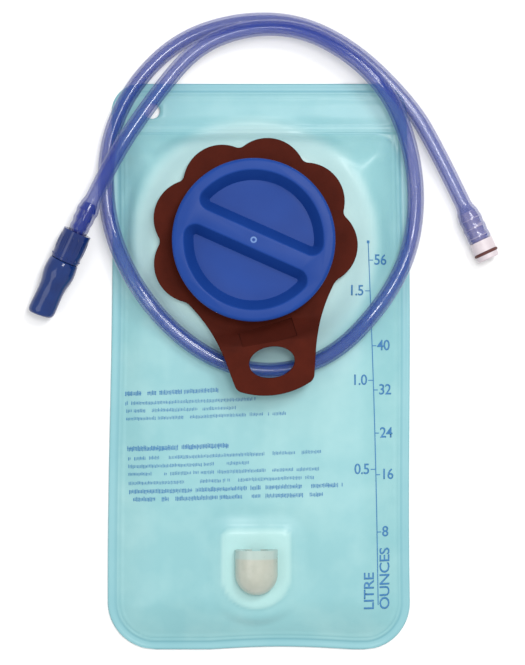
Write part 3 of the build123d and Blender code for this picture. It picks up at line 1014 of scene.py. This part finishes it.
def moulding(node_name, name, material, body, round_mm):
    """A rounded copy of a CAD node that rides on the same body."""
    shape = bmesh.new()
    shape.from_mesh(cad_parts[node_name].data)
    bmesh.ops.remove_doubles(shape, verts=shape.verts, dist=2e-6)
    bmesh.ops.dissolve_limit(shape, angle_limit=flat_angle, verts=shape.verts, edges=shape.edges)
    mesh = bpy.data.meshes.new(name)
    shape.to_mesh(mesh)
    shape.free()
    mesh.materials.clear()
    mesh.materials.append(material)
    mesh.shade_smooth()
    mesh.set_sharp_from_angle(angle=sharp_angle)
    piece = linked(name, mesh)
    rounding = piece.modifiers.new("rounding", "BEVEL")
    rounding.width = round_mm * mm
    rounding.segments = 3
    rounding.limit_method = "ANGLE"
    rounding.angle_limit = sharp_angle
    rounding.harden_normals = True
    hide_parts(node_name)
    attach(piece, body)
    print(name, len(mesh.polygons), "faces")
    return piece


moulding("cap", "screw_cap", cap_blue, "screw_cap", 0.35)
collar = moulding("handle_collar", "handle", collar_maroon, root, 0.7)
moulding("outlet_port", "outlet_hood", port_milk, root, 0.5)

# %% A shallow recess in the collar's tab
collar_lean = radians(8.5)
recess_reach = 53.2
recess_depth = 0.5 * mm
cutter_size = Vector((31.0, 11.0, 4.0)) * mm
tab_x = neck_x + sin(collar_lean) * recess_reach
tab_y = neck_y - cos(collar_lean) * recess_reach
above_tab = Vector((tab_x, tab_y, 60.0)) * mm
depsgraph = bpy.context.evaluated_depsgraph_get()
found, tab_top, tab_normal, _ = collar.ray_cast(above_tab, straight_down, depsgraph=depsgraph)
recess_shape = bmesh.new()
bmesh.ops.create_cube(recess_shape, size=1.0)
lean = tab_normal.to_track_quat("Z", "Y").to_matrix().to_4x4() @ Matrix.Rotation(collar_lean, 4, "Z")
cutter_middle = tab_top + tab_normal * (cutter_size.z / 2 - recess_depth)
block = Matrix.Translation(cutter_middle) @ lean @ Matrix.Diagonal((*cutter_size, 1.0))
bmesh.ops.transform(recess_shape, matrix=block, verts=recess_shape.verts)
recess = from_shape("tab_recess", recess_shape)
collar.modifiers["rounding"].show_viewport = False
cut = collar.modifiers.new("recess", "BOOLEAN")
cut.object = recess
cut.solver = "EXACT"
carved = plain_mesh(collar)
collar.modifiers.remove(cut)
collar.modifiers["rounding"].show_viewport = True
collar.data = carved
bpy.data.objects.remove(recess)
print("tab found:", found, "at", round(tab_top.z / mm, 2), "mm; faces:", len(carved.polygons))

# %% [markdown]
# ## The bite valve
# The mouthpiece is a soft silicone sleeve with a belly, a waist and a flat, slanted tip. It is turned
# from one profile about the valve's axis, which is quicker to shape than a sculpted form. The
# spout's sleeve gets lengthwise grips and a ring of dots, laid round it by Geometry Nodes.

# %% The valve's own frame: its axis is where the hose points
valve_end = Vector(hose_route[0])
valve_way = (valve_end - Vector(hose_route[1])).normalized()
valve_side = Vector((0.0, 0.0, 1.0)).cross(valve_way).normalized()
valve_up = valve_way.cross(valve_side)
valve_turn = Matrix((valve_side, valve_up, valve_way)).transposed().to_4x4()
valve_frame = Matrix.Translation(valve_end) @ valve_turn

# %% Turn the mouthpiece
# Radius and distance along the valve, in millimetres: up the outside, over the tip, down the bore.
mouth_profile = [
    (5.4, 17.9), (7.6, 17.8), (8.3, 18.3), (8.55, 20.0), (8.9, 23.0), (8.95, 25.5), (8.6, 28.5),
    (8.0, 31.0), (7.55, 33.5), (7.35, 37.0), (7.4, 41.0), (7.55, 45.0), (7.6, 48.0), (7.45, 49.6),
    (6.9, 50.9), (6.0, 51.5), (5.0, 51.4), (3.4, 50.6), (1.7, 50.2), (0.0, 50.1),
]
waist_at = 28.0
bore_profile = [(0.0, 48.6), (3.0, 48.6), (5.0, 47.4), (5.9, 45.0), (5.95, 30.0), (5.4, 26.2)]


def turned(name, profile, sides, squash, slant):
    """Turn a closed profile about the valve's axis; squash flattens and slant cuts the tip."""
    shape = bmesh.new()
    rings = []
    for radius, along in profile:
        tip = ease((along - waist_at) / 20.0)
        if radius == 0.0:
            rings.append([shape.verts.new((0.0, 0.0, along * mm))])
            continue
        ring = []
        for index in range(sides):
            angle = 2 * pi * index / sides
            across = radius * cos(angle)
            thick = radius * sin(angle) * (1.0 - squash * tip)
            reach = along + slant * tip * across
            ring.append(shape.verts.new((across * mm, thick * mm, reach * mm)))
        rings.append(ring)
    for lower, upper in zip(rings, rings[1:] + rings[:1]):
        for index in range(sides):
            after = (index + 1) % sides
            if len(lower) == 1 and len(upper) == 1:
                break
            if len(lower) == 1:
                shape.faces.new((lower[0], upper[after], upper[index]))
            elif len(upper) == 1:
                shape.faces.new((lower[index], lower[after], upper[0]))
            else:
                shape.faces.new((lower[index], lower[after], upper[after], upper[index]))
    bmesh.ops.recalc_face_normals(shape, faces=shape.faces)
    bmesh.ops.transform(shape, matrix=valve_frame, verts=shape.verts)
    piece = from_shape(name, shape)
    piece.data.shade_smooth()
    return piece


whole_profile = mouth_profile + bore_profile
mouth = turned("bite_sleeve", whole_profile, sides=56, squash=0.14, slant=-0.10)
mouth.data.materials.append(mouth_blue)
mouth.data.set_sharp_from_angle(angle=radians(60))
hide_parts("mouthpiece")
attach(mouth, "bite_valve")
print("mouthpiece:", len(mouth.data.polygons), "faces")

# %% Grips and dots round the spout's sleeve
grip_sizes = {
    "Grips": 16,
    "Dots": 18,
    "Sleeve": 8.1 * mm,
    "Grip length": 5.2 * mm,
    "Grip width": 0.36 * mm,
    "Dot size": 0.5 * mm,
}
grip_tree, size = new_tree("lay_grips", grip_sizes)


def ring_of(count, radius, height, wide, tall):
    """Rounded ridges or dots on a circle round the axis."""
    circle = node(grip_tree, "GeometryNodeMeshCircle", {}, Vertices=count, Radius=radius)
    shift = node(grip_tree, "ShaderNodeCombineXYZ", {}, 0.0, 0.0, height)
    moved = node(grip_tree, "GeometryNodeTransform", {}, Geometry=circle, Translation=shift)
    ball = node(grip_tree, "GeometryNodeMeshUVSphere", {}, Segments=10, Rings=8, Radius=1.0)
    stretch = node(grip_tree, "ShaderNodeCombineXYZ", {}, wide, wide, tall)
    laid = {"Points": moved, "Instance": ball, "Scale": stretch}
    return node(grip_tree, "GeometryNodeInstanceOnPoints", {}, **laid)


grips = ring_of(size["Grips"], size["Sleeve"], 8.2 * mm, size["Grip width"], size["Grip length"])
dots = ring_of(size["Dots"], size["Sleeve"], 15.7 * mm, size["Dot size"], size["Dot size"])
both = join(grip_tree, dots, grips)
end_tree(grip_tree, node(grip_tree, "GeometryNodeSetShadeSmooth", {}, Geometry=both), spout_blue)
sleeve_grips = grow(from_shape("sleeve_grips", bmesh.new()), grip_tree)
sleeve_grips.data.transform(valve_frame)
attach(sleeve_grips, "bite_valve")
print("grips:", len(sleeve_grips.data.polygons), "faces")
moulding("valve_spout", "twist_spout", spout_blue, "bite_valve", 0.25)

# %% [markdown]
# ## Last settings
# Six small nodes are mostly hidden, or simple enough to keep the frame's own shape, and only get a
# finish.

# %% Finishes for the nodes that stay
kept_nodes = {
    "fill_neck": neck_clear,
    "cap_gasket": seal_red,
    "plug": plug_white,
    "plug_o_ring": seal_red,
    "valve_stem": stem_blue,
    "valve_o_ring": seal_red,
}
for name, material in kept_nodes.items():
    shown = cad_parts[name]
    for material_slot in shown.material_slots:
        material_slot.link = "OBJECT"
        material_slot.material = material
